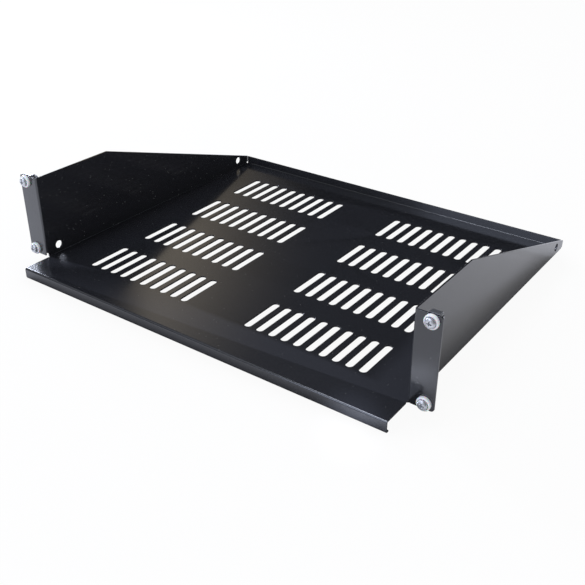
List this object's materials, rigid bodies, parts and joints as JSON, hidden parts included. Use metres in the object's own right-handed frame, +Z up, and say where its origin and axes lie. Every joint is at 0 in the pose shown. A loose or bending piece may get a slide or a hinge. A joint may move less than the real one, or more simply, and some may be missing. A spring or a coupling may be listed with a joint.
{
  "type": "cantilever rack shelf",
  "caption": "Folded steel cantilever shelf for a 19-inch rack: vented tray between sloping side walls, front and rear lips, and ears with pan-head screws, cup washers and cage nuts.",
  "frame": {"origin": "on the top of the tray, midway between the side walls, in the plane of the ears' rear faces, which lie on the rack posts", "axes": "+Z up from the tray, +Y to the rear of the rack, +X to the right seen from the front"},
  "size_m": [0.4826, 0.3738, 0.1016],
  "materials": {
    "black_paint": "gloss black stoved paint",
    "screw_zinc": "bright zinc plate",
    "washer_plastic": "moulded natural nylon",
    "nut_zinc": "bright zinc plate",
    "cage_spring_steel": "zinc-plated spring steel"
  },
  "bodies": {
    "root": {"shelf_body": "black_paint", "screw_upper_left": "screw_zinc", "cup_washer_upper_left": "washer_plastic", "square_nut_upper_left": "nut_zinc", "nut_cage_upper_left": "cage_spring_steel", "screw_upper_right": "screw_zinc", "cup_washer_upper_right": "washer_plastic", "square_nut_upper_right": "nut_zinc", "nut_cage_upper_right": "cage_spring_steel", "screw_lower_left": "screw_zinc", "cup_washer_lower_left": "washer_plastic", "square_nut_lower_left": "nut_zinc", "nut_cage_lower_left": "cage_spring_steel", "screw_lower_right": "screw_zinc", "cup_washer_lower_right": "washer_plastic", "square_nut_lower_right": "nut_zinc", "nut_cage_lower_right": "cage_spring_steel"}
  },
  "joints": []
}
